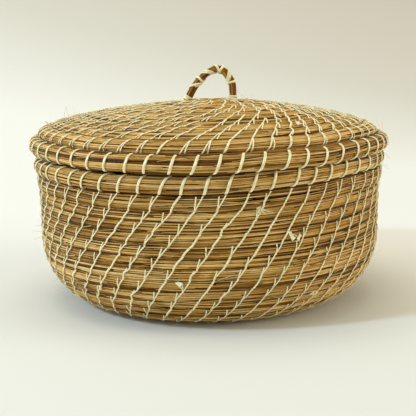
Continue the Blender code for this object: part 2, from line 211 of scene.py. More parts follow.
# %% [markdown]
# ## Dry grass and palm strip
#
# Grass dries to many tones, from pale straw to a brown that is almost violet. Each tone is a
# material of its own, and all of them share one node group that mottles a colour along the stem.
# Straw shines a little where it is seen edge on, so its shader has a faint sheen. The strips are
# pale and twisted, so their group draws slanting fibres from the strip's own UV map, in which U
# runs along the strip and V runs round it.

# %% Start a node group
def add_group(name, inputs):
    """Return a new shader node group with named inputs, a colour and a height."""
    group = bpy.data.node_groups.new(name, "ShaderNodeTree")
    for label, kind, value in inputs:
        socket = group.interface.new_socket(label, in_out="INPUT", socket_type=kind)
        socket.default_value = value
    group.interface.new_socket("Color", in_out="OUTPUT", socket_type="NodeSocketColor")
    group.interface.new_socket("Height", in_out="OUTPUT", socket_type="NodeSocketFloat")
    return group, group.nodes.new("NodeGroupInput"), group.nodes.new("NodeGroupOutput")


def maths(nodes, operation, second=None):
    """Return a new Math node, with its second number if it is a fixed one."""
    node = nodes.new("ShaderNodeMath")
    node.operation = operation
    if second is not None:
        node.inputs[1].default_value = second
    return node


def add_noise(group, place, taken, scale):
    """Return a new noise texture whose scale is one of the group's inputs."""
    texture = group.nodes.new("ShaderNodeTexNoise")
    group.links.new(place.outputs["Object"], texture.inputs["Vector"])
    group.links.new(taken.outputs[scale], texture.inputs["Scale"])
    return texture


BLEND_FROM, BLEND_TO = 0.5, 0.95


def blend_tones(group, taken, given, value, first, last):
    """Give as the group's colour a blend from its first to its last tone as a value rises."""
    mix = group.nodes.new("ShaderNodeMix")
    mix.data_type = "RGBA"
    spread = group.nodes.new("ShaderNodeMapRange")
    set_inputs(spread, {"From Min": BLEND_FROM, "From Max": BLEND_TO})
    link = group.links.new
    link(value, spread.inputs["Value"])
    link(spread.outputs["Result"], mix.inputs["Factor"])
    link(taken.outputs[first], mix.inputs["A"])
    link(taken.outputs[last], mix.inputs["B"])
    link(mix.outputs["Result"], given.inputs["Color"])


# %% Node group: mottled stem
stem_group, taken, given = add_group("mottled_stem", [
    ("Light", "NodeSocketColor", (0.5, 0.4, 0.2, 1)), ("Dark", "NodeSocketColor", (0.2, 0.1, 0.1, 1)),
    ("Patch Scale", "NodeSocketFloat", 90), ("Speck Scale", "NodeSocketFloat", 900)])
SPECK_SHARE = 0.45
place = stem_group.nodes.new("ShaderNodeTexCoord")
patch = add_noise(stem_group, place, taken, "Patch Scale")
speck = add_noise(stem_group, place, taken, "Speck Scale")
blend = maths(stem_group.nodes, "MULTIPLY_ADD", SPECK_SHARE)
link = stem_group.links.new
link(speck.outputs["Fac"], blend.inputs[0])
link(patch.outputs["Fac"], blend.inputs[2])
link(speck.outputs["Fac"], given.inputs["Height"])
blend_tones(stem_group, taken, given, blend.outputs[0], "Light", "Dark")

# %% Node group: twisted strip
strip_group, taken, given = add_group("twisted_strip", [
    ("Light", "NodeSocketColor", (0.8, 0.7, 0.5, 1)), ("Dark", "NodeSocketColor", (0.4, 0.3, 0.2, 1)),
    ("Twists", "NodeSocketFloat", 5), ("Fibre Scale", "NodeSocketFloat", 900)])
RIDGE_SHARE = 0.9
nodes, link = strip_group.nodes, strip_group.links.new
place = nodes.new("ShaderNodeTexCoord")
split = nodes.new("ShaderNodeSeparateXYZ")
turns = maths(nodes, "MULTIPLY_ADD")
wave = maths(nodes, "FRACT")
ridge = maths(nodes, "PINGPONG", 0.5)
fibre = add_noise(strip_group, place, taken, "Fibre Scale")
both = maths(nodes, "MULTIPLY_ADD", RIDGE_SHARE)
link(place.outputs["UV"], split.inputs["Vector"])
link(split.outputs["X"], turns.inputs[0])
link(taken.outputs["Twists"], turns.inputs[1])
link(split.outputs["Y"], turns.inputs[2])
link(turns.outputs[0], wave.inputs[0])
link(wave.outputs[0], ridge.inputs[0])
link(ridge.outputs[0], both.inputs[0])
link(fibre.outputs["Fac"], both.inputs[2])
link(both.outputs[0], given.inputs["Height"])
blend_tones(strip_group, taken, given, both.outputs[0], "Dark", "Light")


# %% Materials of each tone
BUMP_HEIGHT = 0.2 * MM
SPECULAR, SHEEN_ROUGHNESS, SHEEN_TINT = 0.15, 0.35, (0.92, 1, 0.7, 1)


def dressed(name, group, light, dark, roughness, sheen, bump):
    """Return a Principled material whose colour and bump come from one of the groups."""
    material = plain_material(name, light, roughness)
    nodes = material.node_tree.nodes
    pattern = nodes.new("ShaderNodeGroup")
    pattern.node_tree = group
    set_inputs(pattern, {"Light": (*linear(light), 1), "Dark": (*linear(dark), 1)})
    relief = nodes.new("ShaderNodeBump")
    set_inputs(relief, {"Strength": bump, "Distance": BUMP_HEIGHT})
    shader = nodes["Principled BSDF"]
    set_inputs(shader, {"Specular IOR Level": SPECULAR, "Sheen Weight": sheen,
                        "Sheen Roughness": SHEEN_ROUGHNESS, "Sheen Tint": SHEEN_TINT})
    link = material.node_tree.links.new
    link(pattern.outputs["Color"], shader.inputs["Base Color"])
    link(pattern.outputs["Height"], relief.inputs["Height"])
    link(relief.outputs["Normal"], shader.inputs["Normal"])
    return material


STEM_TONES = [
    ("straw_pale", (240, 208, 142), (214, 176, 104)),
    ("straw_gold", (226, 186, 112), (196, 152, 76)),
    ("straw_tan", (208, 164, 86), (178, 132, 54)),
    ("straw_brown", (184, 138, 64), (150, 106, 38)),
    ("straw_umber", (158, 110, 40), (122, 78, 20)),
    ("straw_dark", (112, 70, 20), (72, 42, 8)),
    ("straw_violet", (116, 86, 74), (80, 54, 50)),
]
stem_tones = [dressed(name, stem_group, light, dark, 0.55, 0.32, 0.5) for name, light, dark in STEM_TONES]
# The dark tube inside each bundle is painted shade between the stems.
core_shade = dressed("bundle_shadow", stem_group, (56, 32, 14), (34, 18, 10), 0.9, 0, 0.3)
strip_pale = dressed("palm_strip", strip_group, (255, 253, 222), (234, 219, 162), 0.6, 0.15, 1.0)
print(len(stem_tones), "tones of grass")

# %% [markdown]
# ## Where the bundles run
#
# A coil is a line wound round on a profile. Each round lies against the one before it, so its
# place along the profile is the last round's place plus both half thicknesses. The wall's profile
# is flat under the box, then a quarter of an ellipse, then nearly upright. The lid's profile is a
# low dome. These sizes are the plain model's own. Hand work is never quite level, so the mouth and
# the lid's edge rise and fall together by a few millimetres, as they do in the real box.

# %% Rise and fall of the mouth
RISE_MM_AT_DEGREES = ((-180, 3.3), (-150, 3.2), (-120, 1.3), (-90, 0.5), (-60, 2.5), (-40, 4.0),
                      (-20, 3.2), (0, 1.5), (30, 0), (90, 0), (120, 0.8), (150, 2.6), (180, 3.3))
RISE_FOOT, RISE_SPAN = 40 * MM, 54 * MM
LID_EDGE_RADIUS = 118 * MM
GAP_UNDER_LID = 2.1 * MM
GAP_DEGREES, GAP_SOFT_DEGREES = (150, 312), 40


def between(start, end, share):
    """Return the number or point that lies this share of the way from start to end."""
    return start + (end - start) * share


def mouth_rise(x, y):
    """Return how much higher than level the mouth is in the direction of a point."""
    degrees = math.degrees(math.atan2(y, x))
    for (low, start), (high, end) in zip(RISE_MM_AT_DEGREES, RISE_MM_AT_DEGREES[1:]):
        if low <= degrees <= high:
            share = (1 - math.cos(math.pi * (degrees - low) / (high - low))) / 2
            return between(start, end, share) * MM
    return 0


def smooth(value):
    """Return a value from 0 to 1 with soft ends."""
    value = min(max(value, 0), 1)
    return value * value * (3 - 2 * value)


def wall_rise(point):
    """Return how far a point of the wall is raised, most at the rim and nothing at the foot."""
    return mouth_rise(point.x, point.y) * smooth((point.z - RISE_FOOT) / RISE_SPAN)


def lid_rise(point):
    """Return how far a point of the lid is raised, most at its edge and nothing in the middle.

    At the front and the left the edge stands off the mouth, which leaves the dark gap there.
    """
    degrees = math.degrees(math.atan2(point.y, point.x)) % 360
    into, before_end = degrees - GAP_DEGREES[0], GAP_DEGREES[1] - degrees
    apart = GAP_UNDER_LID * smooth(into / GAP_SOFT_DEGREES) * smooth(before_end / GAP_SOFT_DEGREES)
    reach = min(math.hypot(point.x, point.y) / LID_EDGE_RADIUS, 1)
    return mouth_rise(point.x, point.y) * reach ** 2 + apart * reach


# %% A coil on a profile
ROUND = 20
ROW_GAP = 0.7 * MM
ROW_CORNER, LAST_CORNER, CORNER_CHANGE_POINTS = 3.4, 2.4, 4
WANDER, WANDER_PER_POINT = 0.5 * MM, 0.17
SMALLEST_BEND = 3 * MM


def lengths_along(outline):
    """Return the length from an outline's first point to each of its points."""
    lengths = [0]
    for here, there in zip(outline, outline[1:]):
        lengths.append(lengths[-1] + math.dist(here, there))
    return lengths


class Bundle:
    """A bundle wound on a profile, with the place and the half thickness of each point."""

    def __init__(self, outline, places, radii, end_angle, way, outer, rise, frame):
        self.outline, self.lengths = outline, lengths_along(outline)
        self.places, self.radii = places, radii
        self.end_angle, self.way, self.outer = end_angle, way, outer
        self.rise, self.frame = rise, frame
        self.last = len(places) - 1
        self.flush_until = self.last - ROUND

    def thickness(self, index):
        """Return the half thickness at a point of the winding, which may lie before its start."""
        low = min(max(int(math.floor(index)), ROUND), self.last - 1)
        share = min(max(index - low, 0), 1)
        return between(self.radii[low], self.radii[low + 1], share)

    def corner(self, index):
        """Return how square the section is: the rows are, and the last round is rounder."""
        share = smooth((index - self.last + ROUND) / CORNER_CHANGE_POINTS + 0.5)
        return between(ROW_CORNER, LAST_CORNER, share)

    def spot(self, index):
        """Return the middle, the outward and onward directions, the way ahead and the radius."""
        low = min(max(int(math.floor(index)), 0), self.last - 1)
        place = between(self.places[low], self.places[low + 1], index - low)
        place += noise.noise(Vector((index * WANDER_PER_POINT, self.way, 0))) * WANDER
        step = min(max(bisect.bisect_right(self.lengths, place), 1), len(self.outline) - 1)
        (r0, z0), (r1, z1) = self.outline[step - 1], self.outline[step]
        run = self.lengths[step] - self.lengths[step - 1]
        share = (place - self.lengths[step - 1]) / run
        radius, height = between(r0, r1, share), between(z0, z1, share)
        across, up = (r1 - r0) / run, (z1 - z0) / run
        angle = self.end_angle - self.way * math.tau * (self.last - index) / ROUND
        c, s = math.cos(angle), math.sin(angle)
        middle = Vector((radius * c, radius * s, height))
        middle.z += self.rise(middle)
        on = Vector((across * c, across * s, up))
        out = Vector((up * c, up * s, -across)) * self.outer
        ahead = Vector((-s, c, 0)) * self.way
        return middle, out, on, ahead, radius

    def per_metre(self, index):
        """Return how many points of the winding a metre of bundle holds."""
        return ROUND / (math.tau * self.bend(index))

    def bend(self, index):
        """Return the radius in which the bundle bends."""
        return max(self.spot(index)[4], SMALLEST_BEND)

    def at(self, row, azimuth):
        """Return the point of the winding in a row counted back from the last, at an azimuth."""
        turn = (self.way * (self.end_angle - math.radians(azimuth))) % math.tau
        return self.last - turn / math.tau * ROUND - row * ROUND


# %% The basket's bundle
FLOOR_RADIUS = 76.2 * MM
ROW_RADIUS = 3.1 * MM
RIM_ROW_RADIUS = 5.3 * MM
TIP_RADIUS = 0.7 * MM
MOUTH_HEIGHT = 99 * MM
FLOOR_ROUNDS = 10.2
BOWL_REACH, BOWL_RISE, BOWL_LOW, FLARE = 35.6 * MM, 41.9 * MM, 3.4 * MM, 1.4 * MM
OUTLINE_STEPS = 240


def shares(steps):
    """Return evenly spaced shares from 0 to 1."""
    return [step / steps for step in range(steps + 1)]


def wall_profile():
    """Return the middle line of the basket's rows, from the edge of the bottom to the mouth."""
    outline = []
    for share in shares(OUTLINE_STEPS):
        turn = math.pi / 2 * share
        outline.append((FLOOR_RADIUS + BOWL_REACH * math.sin(turn),
                        BOWL_LOW + BOWL_RISE * (1 - math.cos(turn))))
    foot, rim = outline[-1][1], MOUTH_HEIGHT - RIM_ROW_RADIUS
    for share in shares(OUTLINE_STEPS)[1:]:
        outline.append((FLOOR_RADIUS + BOWL_REACH + FLARE * share ** 2, between(foot, rim, share)))
    return outline


def thinned(radius, left, points):
    """Return a bundle's half thickness this many points from its tip."""
    return between(TIP_RADIUS, radius, min(left / points, 1))


def lay_rounds(first_round, radii):
    """Return the place of each point, with each round against the one before it."""
    places = list(first_round)
    for index in range(ROUND, len(radii)):
        places.append(places[index - ROUND] + radii[index - ROUND] + radii[index] + ROW_GAP)
    return places


RIM_ROUNDS, THINNER_PER_ROUND = 0.85, 1.3 * MM
WALL_TIP_POINTS = 9
FLOOR_GAP = 0.3 * MM


def wall_rows(count):
    """Return the radii and places of the wall's rows, which thicken towards the rim."""
    radii = []
    for index in range(count):
        left = count - 1 - index
        below = max(left / ROUND - RIM_ROUNDS, 0)
        radius = max(RIM_ROW_RADIUS - THINNER_PER_ROUND * below, ROW_RADIUS)
        radii.append(thinned(thinned(radius, left, WALL_TIP_POINTS), index, ROUND))
    passing = 2 * TIP_RADIUS + ROW_GAP
    first = [radius + FLOOR_GAP + passing * index / ROUND for index, radius in enumerate(radii[:ROUND])]
    return radii, lay_rounds(first, radii)


def longest(rows, length):
    """Return the radii and places of the longest coil that fits on a length of profile."""
    count, reach = 2 * ROUND, 0
    while reach < length:
        radii, places = rows(count)
        reach = max(place + radius for place, radius in zip(places[-ROUND:], radii[-ROUND:]))
        count += 1
    return radii, [place * length / reach for place in places]


profile = wall_profile()
radii, places = longest(wall_rows, lengths_along(profile)[-1] + RIM_ROW_RADIUS)
pitch = 2 * ROW_RADIUS + ROW_GAP
for index in range(ROUND):
    places[index] = places[ROUND] - pitch * (ROUND - index) / ROUND
WALL_END_DEGREES = 162
basket = Bundle(profile, places, radii, math.radians(WALL_END_DEGREES), 1, 1, wall_rise, Matrix())
print("basket bundle:", round(basket.last / ROUND, 2), "rounds in the wall")

# %% The lid's bundle
LID_REACH = 115.8 * MM
LID_HEIGHT = 26.6 * MM
LID_ROW_RADIUS = 4.6 * MM
EDGE_ROW_RADIUS = 5.2 * MM
SEAT, TILT = 101.63 * MM, math.radians(-0.6)
DOME_POWERS = 1.5, 0.52
LID_TIP_POINTS, STEP_POINTS = 5, 4
LID_START = 5.4 * MM
LID_END_DEGREES = 108


def dome_profile():
    """Return the middle line of the lid's rows, from its middle to its edge row."""
    outline = []
    for share in shares(OUTLINE_STEPS):
        radius = LID_REACH * math.sin(math.pi / 2 * share)
        left = max(1 - (radius / LID_REACH) ** DOME_POWERS[0], 0)
        outline.append((radius, LID_HEIGHT * left ** DOME_POWERS[1]))
    return outline


def lid_rows(count):
    """Return the radii and places of the lid's rows, level for most of each round near the edge."""
    pitch = 2 * LID_ROW_RADIUS + ROW_GAP
    radii = []
    for index in range(count):
        left = count - 1 - index
        swell = min(max((ROUND - left) / STEP_POINTS, 0), 1)
        radius = between(LID_ROW_RADIUS, EDGE_ROW_RADIUS, swell)
        radii.append(thinned(radius, left, LID_TIP_POINTS))
    places = lay_rounds([LID_START + pitch * index / ROUND for index in range(ROUND)], radii)
    for index in range(count):
        into = (index - count + 1) % ROUND
        places[index] += pitch * (smooth(into / STEP_POINTS) - into / ROUND) * index / count
    return radii, places


profile = dome_profile()
radii, places = longest(lid_rows, lengths_along(profile)[-1] + EDGE_ROW_RADIUS)
lid_frame = Matrix.Translation((0, 0, SEAT)) @ Matrix.Rotation(TILT, 4, "Y")
lid = Bundle(profile, places, radii, math.radians(LID_END_DEGREES), -1, -1, lid_rise, lid_frame)
print("lid bundle:", round(lid.last / ROUND, 2), "rounds")

# %% [markdown]
# ## Stems
#
# A real bundle is a handful of grass. Long stems run along it side by side, each a hand or so
# long, and new ones are fed in as the old ones end. They could be drawn as a texture on a tube,
# but then the edge of each row would be too clean. Here each stem is a short poly curve with a
# round bevel. All the stems of a piece are one curve object, turned into one mesh at the end.
# The bundles are pressed nearly square by the sewing, so the rows are almost flush. A dark tube
# inside each bundle closes the view where its stems part, as painted shade.

# %% Curves to one mesh
def add_piece(name, mesh, materials, body):
    """Put a mesh in the scene as a piece that rides on a body."""
    mesh.name = name
    for number, material in enumerate(materials):
        if number < len(mesh.materials):
            mesh.materials[number] = material
        else:
            mesh.materials.append(material)
    mesh.shade_smooth()
    piece = add_object(name, mesh)
    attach(piece, body)
    print(name, len(mesh.polygons), "faces")
    return piece


def thick_curve(resolution=1, section=None):
    """Return an empty curve whose points scale a circle, or a flat section if one is given."""
    curve = bpy.data.curves.new("thick", "CURVE")
    curve.dimensions = "3D"
    curve.twist_mode = "Z_UP"
    curve.use_fill_caps = True
    if section:
        curve.bevel_mode = "OBJECT"
        curve.bevel_object = section
    else:
        curve.bevel_depth = 1
        curve.bevel_resolution = resolution
    return curve


def mesh_of(curve):
    """Return a curve's closed mesh, and remove the curve and what its section came from."""
    holder = add_object("holder", curve)
    bpy.context.view_layer.update()
    graph = bpy.context.evaluated_depsgraph_get()
    mesh = bpy.data.meshes.new_from_object(holder.evaluated_get(graph))
    bpy.data.objects.remove(holder, do_unlink=True)
    section = curve.bevel_object
    bpy.data.curves.remove(curve)
    if section:
        bpy.data.objects.remove(section, do_unlink=True)
    return mesh


def add_stems(name, stems, place, body, resolution=1):
    """Add one piece of many stems, each (points, radii, tone)."""
    curve = thick_curve(resolution)
    for material in stem_tones:
        curve.materials.append(material)
    for points, radii, tone in stems:
        spline = curve.splines.new("POLY")
        spline.points.add(len(points) - 1)
        spline.points.foreach_set("co", [v for point in points for v in (*(place @ point), 1)])
        spline.points.foreach_set("radius", radii)
        spline.material_index = tone
    return add_piece(name, mesh_of(curve), stem_tones, body)


# %% Lay stems along a bundle
def on_section(bundle, index, turn, depth):
    """Return a point of a bundle's section, a rounded square, at a turn from its outward side."""
    middle, out, on, _, _ = bundle.spot(index)
    half = bundle.thickness(index)
    c, s = math.cos(turn), math.sin(turn)
    corner = bundle.corner(index)
    reach = (abs(c) ** corner + abs(s) ** corner) ** (-1 / corner)
    seam = ROW_GAP / 2 if index < bundle.flush_until else 0
    return middle + (out * c * (half - depth) + on * s * (half + seam - depth)) * reach


DARK, VIOLET = len(STEM_TONES) - 2, len(STEM_TONES) - 1
DARK_SHARE, VIOLET_SHARE = 0.07, 0.015
PATCH_STRENGTH, PATCHES_PER_POINT, PATCHES_PER_RADIAN = 0.9, 0.35, 2.5
# Stems near a seam take darker tones: painted shade in the groove between rows.
SEAM_SHADE, SEAM_FROM, SEAM_SHARPNESS = 0.8, 0.72, 6
OTHER_WAY_SHIFT = 7


def pick_tone(pick, middle, spread, index, turn, way):
    """Return a stem's tone, changing slowly along the bundle, darker by a seam as painted shade."""
    chance = pick.random()
    if chance < DARK_SHARE:
        return VIOLET if chance < VIOLET_SHARE else DARK
    patch = noise.noise(Vector((index * PATCHES_PER_POINT, turn * PATCHES_PER_RADIAN,
                                way * OTHER_WAY_SHIFT)))
    seam = smooth((abs(math.sin(turn)) - SEAM_FROM) * SEAM_SHARPNESS)
    tone = pick.gauss(middle + (patch * PATCH_STRENGTH + SEAM_SHADE * seam), spread)
    return min(max(int(round(tone)), 0), DARK)


FULL_LENGTH_BEND, SHORTEST_SHARE, LEAST_RUN = 90 * MM, 0.25, 2 * MM
FIRST_STAGGER_POINTS, NEXT_STEM_POINTS = 3, (-0.05, 0.08)
LONGEST_STEP, STEP_PER_BEND = 11 * MM, 0.14
LEAN_SPREAD, SINK_SPREAD_MM, THINNEST, THICKEST = 0.06, 0.2, 0.72, 1.25
TIP_SHARE, TIP_SINK, TIP_THINNING = 0.2, 0.25 * MM, 0.45


def lay_stems(bundle, first, last, pick, turns, depth, thick, tones, missing=0.0, stray=0.1,
              long=(40, 110)):
    """Return stems laid end to end along a bundle, one lane for each turn of its section.

    Depth, thick and long are in mm. In a tight bend the stems are shorter and have more points.
    """
    stems = []
    for turn in turns:
        index = first - pick.random() * FIRST_STAGGER_POINTS
        while index < last:
            start = max(index, first)
            bend = bundle.bend(start)
            length = pick.uniform(*long) * MM * min(1, SHORTEST_SHARE + bend / FULL_LENGTH_BEND)
            end = min(index + length * bundle.per_metre(start), last)
            run = (end - start) / bundle.per_metre(start)
            if run > LEAST_RUN and pick.random() >= missing:
                steps = max(3, math.ceil(run / min(LONGEST_STEP, STEP_PER_BEND * bend)))
                lean, drift = pick.gauss(0, LEAN_SPREAD), pick.gauss(0, stray)
                sink = (depth + abs(pick.gauss(0, SINK_SPREAD_MM))) * MM
                half = thick * pick.uniform(THINNEST, THICKEST) * MM
                points, radii = [], []
                for share in shares(steps):
                    here = between(start, end, share)
                    tip = max(0, 1 - min(share, 1 - share) / TIP_SHARE)
                    points.append(on_section(bundle, here, turn + lean + drift * (share - 0.5),
                                             sink + tip * TIP_SINK))
                    radii.append(half * (1 - TIP_THINNING * tip ** 2))
                stems.append((points, radii, pick_tone(pick, *tones, here, turn, bundle.way)))
            index = end + pick.uniform(*NEXT_STEM_POINTS)
            if end >= last:
                break
    return stems


def lanes(first, last, gap):
    """Return turns round a section, from one to another in degrees and about a gap apart."""
    count = max(int(abs(last - first) / gap), 1)
    return [math.radians(between(first, last, share)) for share in shares(count)]


# %% Make a sheaf
def sheaf(name, bundle, body, first, last, outside, inside, thick, tones, seed):
    """Add the stems of one stretch of a bundle in five layers.

    They lie outside, inside, darker under the outer ones, along both seams, and loose across. The
    dark tones under the outer stems and along the seams are painted shade in the gaps and grooves.
    The table gives for each layer what lay_stems takes from turns onward.
    """
    pick = random.Random(seed)
    low, high, gap = outside
    # Layers three and four are dark: painted shade under the outer stems and in the seams.
    layers = ((lanes(low, high, gap), thick, thick, tones, 0.14, 0.14),
              (lanes(*inside), thick, thick, (1.6, 1.2), 0.05),
              (lanes(low, high, gap * 1.3), 3 * thick, 1.2 * thick, (4.2, 0.7)),
              ((-math.pi / 2, math.pi / 2), 0, 1.0, (4.4, 0.6)),
              (lanes(low * 0.8, high * 0.8, 40), -0.1, 0.5 * thick, (1.2, 1.6), 0.45, 0.6, (25, 70)))
    stems = []
    for layer in layers:
        stems += lay_stems(bundle, first, last, pick, *layer)
    return add_stems(name, stems, bundle.frame, body)


# %% The basket's stems
WALL_FRONT, WALL_BACK = (-66, 66, 14.7), (112, 248, 20)
EVEN_TONES, PALE_TONES = (1.6, 1.3), (0.8, 1.0)
RIM_SWELL_POINTS = 10
rim_start = basket.last - ROUND - RIM_SWELL_POINTS
for name, first, last, outside, inside, thick, tones, seed in (
        ("floor", -FLOOR_ROUNDS * ROUND, ROUND, (-62, 62, 22), (118, 242, 22), 0.52, EVEN_TONES, 5),
        ("low", ROUND, 5 * ROUND, WALL_FRONT, WALL_BACK, 0.44, EVEN_TONES, 1),
        ("middle", 5 * ROUND, 9 * ROUND, WALL_FRONT, WALL_BACK, 0.43, EVEN_TONES, 2),
        ("high", 9 * ROUND, rim_start, WALL_FRONT, WALL_BACK, 0.43, EVEN_TONES, 3),
        ("rim", rim_start, basket.last, (-70, 190, 9.6), (190, 250, 14), 0.44, (1.3, 1.3), 4)):
    sheaf(f"basket_stems_{name}", basket, "basket", first, last, outside, inside, thick, tones, seed)

# %% The lid's stems
LID_TOP, LID_UNDER = (-66, 66, 10.4), (112, 248, 15)
edge_start, shoulder_start = lid.last - ROUND, lid.last - 2 * ROUND
for name, first, last, outside, inside, tones, seed in (
        ("middle", -6, 7 * ROUND, LID_TOP, LID_UNDER, PALE_TONES, 11),
        ("outer", 7 * ROUND, shoulder_start, LID_TOP, LID_UNDER, PALE_TONES, 12),
        ("shoulder", shoulder_start, edge_start, (-66, 108, 10), LID_UNDER, PALE_TONES, 14),
        ("edge", edge_start, lid.last, (-150, 160, 9.2), (160, 210, 13), (1.5, 1.2), 13)):
    sheaf(f"lid_stems_{name}", lid, "lid", first, last, outside, inside, 0.44, tones, seed)


# %% Dark middles, painted shade
THINNEST_CORE = 0.4 * MM


def add_core(name, bundle, first, last, body, inset=1.7 * MM, per_point=3):
    """Add a dark tube inside a bundle, painted shade that shows between its stems."""
    curve = thick_curve()
    spline = curve.splines.new("POLY")
    count = int((last - first) * per_point)
    spline.points.add(count)
    for number, knot in enumerate(spline.points):
        index = between(first, last, number / count)
        knot.co = (*(bundle.frame @ bundle.spot(index)[0]), 1)
        knot.radius = max(bundle.thickness(index) - inset, THINNEST_CORE)
    return add_piece(name, mesh_of(curve), [core_shade], body)


basket_core = add_core("basket_core", basket, -FLOOR_ROUNDS * ROUND, basket.last, "basket")
lid_core = add_core("lid_core", lid, 0, lid.last, "lid")
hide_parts("wall_coil", "base_disc")
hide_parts("lid_coil")

# %% [markdown]
# ## Stitches
#
# Each stitch starts on the seam below its row, where it pierces the stitch of the row before, and
# leans ahead over the row to the next seam. About two in three are split: two thin legs part just
# above the lower seam, the long one leans to the next stitch and the short one stands up straighter
# behind it, which gives the V. The others stay one broad twisted strip. As each row's stitch starts
# where the last one ends, they stand in slanting columns. The columns are traced back from the
# longest row to the shortest, and one ends where it comes too close to the one beside it.

# %% Columns of stitches
COLUMNS = 55
START_SPREAD, LEAN_AHEAD_SPREAD = 0.8, 0.5 * MM
LEAST_LEAN_SHARE, LEAN_CHANGE = 0.72, 4 * ROUND
EVENING = 0.35


def stitch_columns(bundle, first, last, lean, level, least, pick, across=0):
    """Return where each stitch starts and ends along a winding, in columns that lean ahead.

    The last round's stitches are evenly spaced. Each round below carries the columns on, a little
    more evenly than they come, and drops one where two come closer than the least distance. Below
    the place called level the lean is less, and across says how much more it is on the left side
    than in the middle.
    """
    def lift(index):
        middle = bundle.spot(index)[0]
        share = between(LEAST_LEAN_SHARE, 1, smooth((index - level) / LEAN_CHANGE))
        share *= 1 - across * middle.x / math.hypot(middle.x, middle.y)
        return pick.gauss(lean * share, LEAN_AHEAD_SPREAD) * bundle.per_metre(index)

    starts = [last - (ROUND * number + pick.gauss(0, START_SPREAD)) / COLUMNS
              for number in range(COLUMNS)]
    pairs = [(start, start + lift(start)) for start in starts]
    number = 1
    while number < len(starts) - 1 and starts[-1] > first:
        before, here, after = starts[number - 1:number + 2]
        even = (before + after) / 2
        end = between(here, even, EVENING) - ROUND
        start = end - lift(end)
        if starts[-1] - start > least * bundle.per_metre(max(start, first)):
            starts.append(start)
            pairs.append((start, end))
        number += 1
    return [pair for pair in reversed(pairs) if pair[0] > first]


# %% Flat strips
def strips_mesh(strips, place, width, thick, sides=6):
    """Return one mesh of many flat strips, each a list of (point, outward, scale)."""
    flat = bpy.data.curves.new("flat", "CURVE")
    flat.dimensions = "2D"
    ring = flat.splines.new("POLY")
    ring.points.add(sides - 1)
    ring.use_cyclic_u = True
    for number, knot in enumerate(ring.points):
        turn = math.tau * number / sides
        knot.co = (width / 2 * math.cos(turn), thick / 2 * math.sin(turn), 0, 1)
    curve = thick_curve(section=add_object("flat", flat))
    for strip in strips:
        points = [place @ point for point, _, _ in strip]
        spline = curve.splines.new("POLY")
        spline.points.add(len(points) - 1)
        for number, (knot, (_, outward, scale)) in enumerate(zip(spline.points, strip)):
            before, after = points[max(number - 1, 0)], points[min(number + 1, len(points) - 1)]
            here = points[number]
            way = ((here - before).normalized() + (after - here).normalized()).normalized()
            wide = way.to_track_quat("Z", "Y").inverted() @ way.cross(place.to_3x3() @ outward)
            knot.co = (*here, 1)
            knot.radius = scale
            knot.tilt = math.atan2(wide.y, wide.x)
            if number:
                turn = knot.tilt - spline.points[number - 1].tilt
                knot.tilt -= math.pi * round(turn / math.pi)
    return mesh_of(curve)


def add_strips(name, strips, place, body, width, thick, sides=6):
    """Add one piece of many flat strips."""
    mesh = strips_mesh(strips, place, width, thick, sides)
    return add_piece(name, mesh, [strip_pale], body)


# %% One leg over a row
LEAST_BULGE_SHARE = 0.82
PROUD = 0.3 * MM
OVER_EASE, TUCK_DEPTH, TUCK_STEPS = 1.5, 0.6 * MM, 2


def leg(bundle, side, low, high, start, end, scales, bow=0, steps=6, ease=1):
    """Return a leg from one height on its row to another, as shares of the row from -1 to 1.

    With an ease above 1 it starts steeper and leans more towards its end.
    """
    strip = []
    for share in shares(steps):
        index = between(start, end, share ** ease) + bow * math.sin(math.pi * share)
        height = between(low, high, share)
        middle, out, on, _, _ = bundle.spot(index)
        half = bundle.thickness(index)
        corner = bundle.corner(index)
        bulge = max(max(1 - abs(height) ** corner, 0) ** (1 / corner), LEAST_BULGE_SHARE)
        point = middle + out * side * (bulge * half + PROUD) + on * height * (half + ROW_GAP / 2)
        outward = (out * side + on * 0.4 * height ** 3).normalized()
        strip.append((point, outward, between(*scales, share)))
    return strip


def facing(bundle, index, turn):
    """Return the outward direction of a bundle's section at a turn."""
    _, out, on, _, _ = bundle.spot(index)
    return (out * math.cos(turn) + on * math.sin(turn)).normalized()


def over(bundle, low, high, start, end, lean_until, bow=0, steps=16, proud=PROUD, scale=1.1):
    """Return a strip laid round a row's section from one turn to another, leaning at first."""
    strip = []
    for step in range(steps + 1):
        turn = between(low, high, step / steps)
        share = min((turn - low) / (lean_until - low), 1)
        index = between(start, end, share ** OVER_EASE) + bow * math.sin(math.pi * share)
        tuck = max(0, 1 - min(step, steps - step) / TUCK_STEPS) * TUCK_DEPTH
        strip.append((on_section(bundle, index, turn, tuck - proud), facing(bundle, index, turn), scale))
    return strip


# %% Kinds of stitches
SPLIT_SHARE, LOW_FORK_SHARE = 0.68, 0.85
LOW_FORK, HIGH_FORK, FORK_LAP = (-1.0, -0.5), (-0.3, 0.1), 0.12
THIN, BROAD, TAPER = 0.54, 0.76, 0.95
FOOT, HEAD, SHORT_HEAD = -1.08, 1.06, (0.85, 1.02)
FOOT_LEAN = 0.36
BEHIND_MM, LEAST_BEHIND = (2.6, 4.4), 0.4 * MM
SPLIT_BOW_MM, CLOSED_BOW_MM = 0.15, 0.3
CLOSED_SCALES, CLOSED_EASE = (0.85, 1.12), 1.35
SHOULDER_DEGREES, ONE_LEG, TWO_LEGS = (-84, 98), 0.85, 0.55


